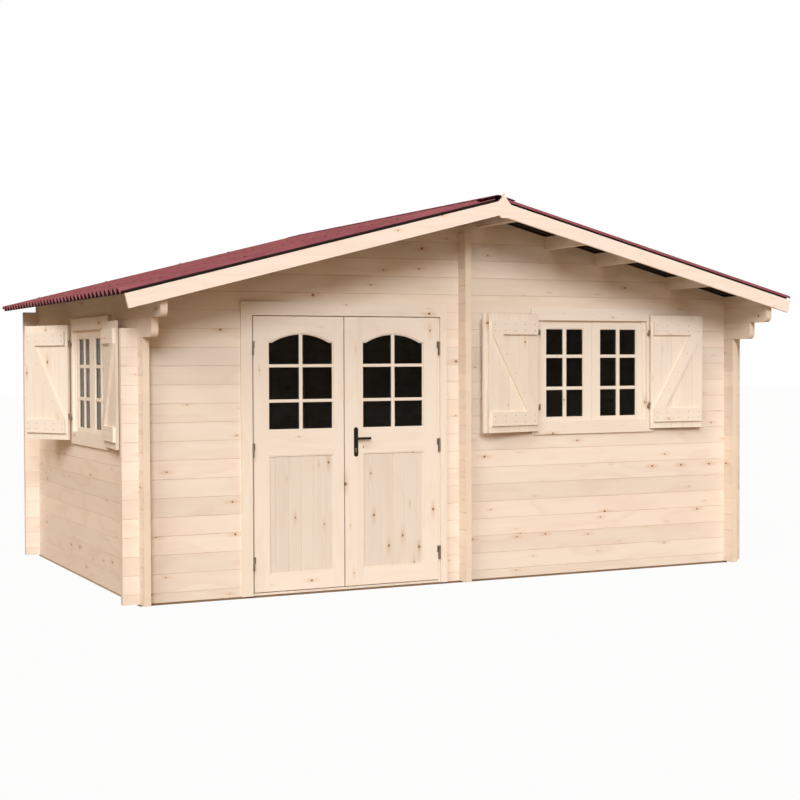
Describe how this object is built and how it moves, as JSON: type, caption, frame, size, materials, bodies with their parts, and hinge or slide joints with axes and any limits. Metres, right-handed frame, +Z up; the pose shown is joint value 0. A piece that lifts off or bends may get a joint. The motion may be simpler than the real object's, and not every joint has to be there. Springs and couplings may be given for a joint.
{
  "type": "garden shed",
  "caption": "Log-walled garden shed with a low gable roof of corrugated sheets, a glazed double door, casement windows and hinged shutters.",
  "frame": {"origin": "on the ground at the centre of the walls' plan, on the underside of the middle runner", "axes": "+Z up, the gable front with the door faces -Y, +X to the right seen from the front"},
  "size_m": [5.0258, 3.496, 2.6456],
  "materials": {
    "spruce": "planed, untreated",
    "joinery": "planed, untreated",
    "barge_wood": "planed, untreated",
    "runner_wood": "pressure treated",
    "roof_sheeting": "burgundy, matt",
    "pane": "clear",
    "zinc_steel": "zinc plated",
    "dark_bronze": "satin"
  },
  "bodies": {
    "shed": {"base_runners": "runner_wood", "floor_deck": "spruce", "front_wall_left": "spruce", "front_wall_centre": "spruce", "front_wall_under_window": "spruce", "front_wall_right": "spruce", "front_gable": "spruce", "left_wall_front": "spruce", "left_wall_rear": "spruce", "left_wall_under_window": "spruce", "left_wall_top": "spruce", "right_wall": "spruce", "rear_wall": "spruce", "cross_log_ends": "spruce", "purlins": "spruce", "front_barge_left": "barge_wood", "front_barge_right": "barge_wood", "roof_sheet_left": "roof_sheeting", "roof_sheet_right": "roof_sheeting", "ridge_cap": "roof_sheeting", "door_frame": "joinery", "front_window_frame": "joinery", "front_window_sashes": "joinery", "front_window_glass": "pane", "left_window_frame": "joinery", "left_window_sashes": "joinery", "left_window_glass": "pane", "fixed_hinges": "zinc_steel"},
    "left_door_leaf": {"left_leaf": "joinery", "left_leaf_glass": "pane", "left_leaf_hinges": "zinc_steel"},
    "right_door_leaf": {"right_leaf": "joinery", "right_leaf_glass": "pane", "right_leaf_hinges": "zinc_steel", "handle_plates": "dark_bronze"},
    "door_lever": {"lever": "dark_bronze"},
    "front_left_shutter_body": {"front_left_shutter": "joinery", "front_left_shutter_hinges": "zinc_steel"},
    "front_right_shutter_body": {"front_right_shutter": "joinery", "front_right_shutter_hinges": "zinc_steel"},
    "side_far_shutter_body": {"side_far_shutter": "joinery", "side_far_shutter_hinges": "zinc_steel"},
    "side_near_shutter_body": {"side_near_shutter": "joinery", "side_near_shutter_hinges": "zinc_steel"}
  },
  "joints": [
    {"name": "left_door", "type": "hinge", "parent": "shed", "child": "left_door_leaf", "pos_m": [-1.5385, -1.44, 0.95], "axis": [0, 0, -1], "range_deg": [0, 170]},
    {"name": "right_door", "type": "hinge", "parent": "shed", "child": "right_door_leaf", "pos_m": [-0.1795, -1.44, 0.95], "axis": [0, 0, 1], "range_deg": [0, 140]},
    {"name": "door_handle", "type": "hinge", "parent": "right_door_leaf", "child": "door_lever", "pos_m": [-0.805, -1.44, 1.024], "axis": [0, 1, 0], "range_deg": [0, 40], "stiffness_Nm_per_rad": 1, "springref_deg": -30},
    {"name": "front_left_shutter_hinge", "type": "hinge", "parent": "shed", "child": "front_left_shutter_body", "pos_m": [0.6085, -1.463, 1.454], "axis": [0, 0, 1], "range_deg": [-8, 170]},
    {"name": "front_right_shutter_hinge", "type": "hinge", "parent": "shed", "child": "front_right_shutter_body", "pos_m": [1.5435, -1.463, 1.454], "axis": [0, 0, -1], "range_deg": [-2, 177]},
    {"name": "side_far_shutter_hinge", "type": "hinge", "parent": "shed", "child": "side_far_shutter_body", "pos_m": [-2.343, 0.1865, 1.394], "axis": [0, 0, 1], "range_deg": [-26, 151.3]},
    {"name": "side_near_shutter_hinge", "type": "hinge", "parent": "shed", "child": "side_near_shutter_body", "pos_m": [-2.343, -0.7485, 1.394], "axis": [0, 0, -1], "range_deg": [-4, 175]}
  ]
}
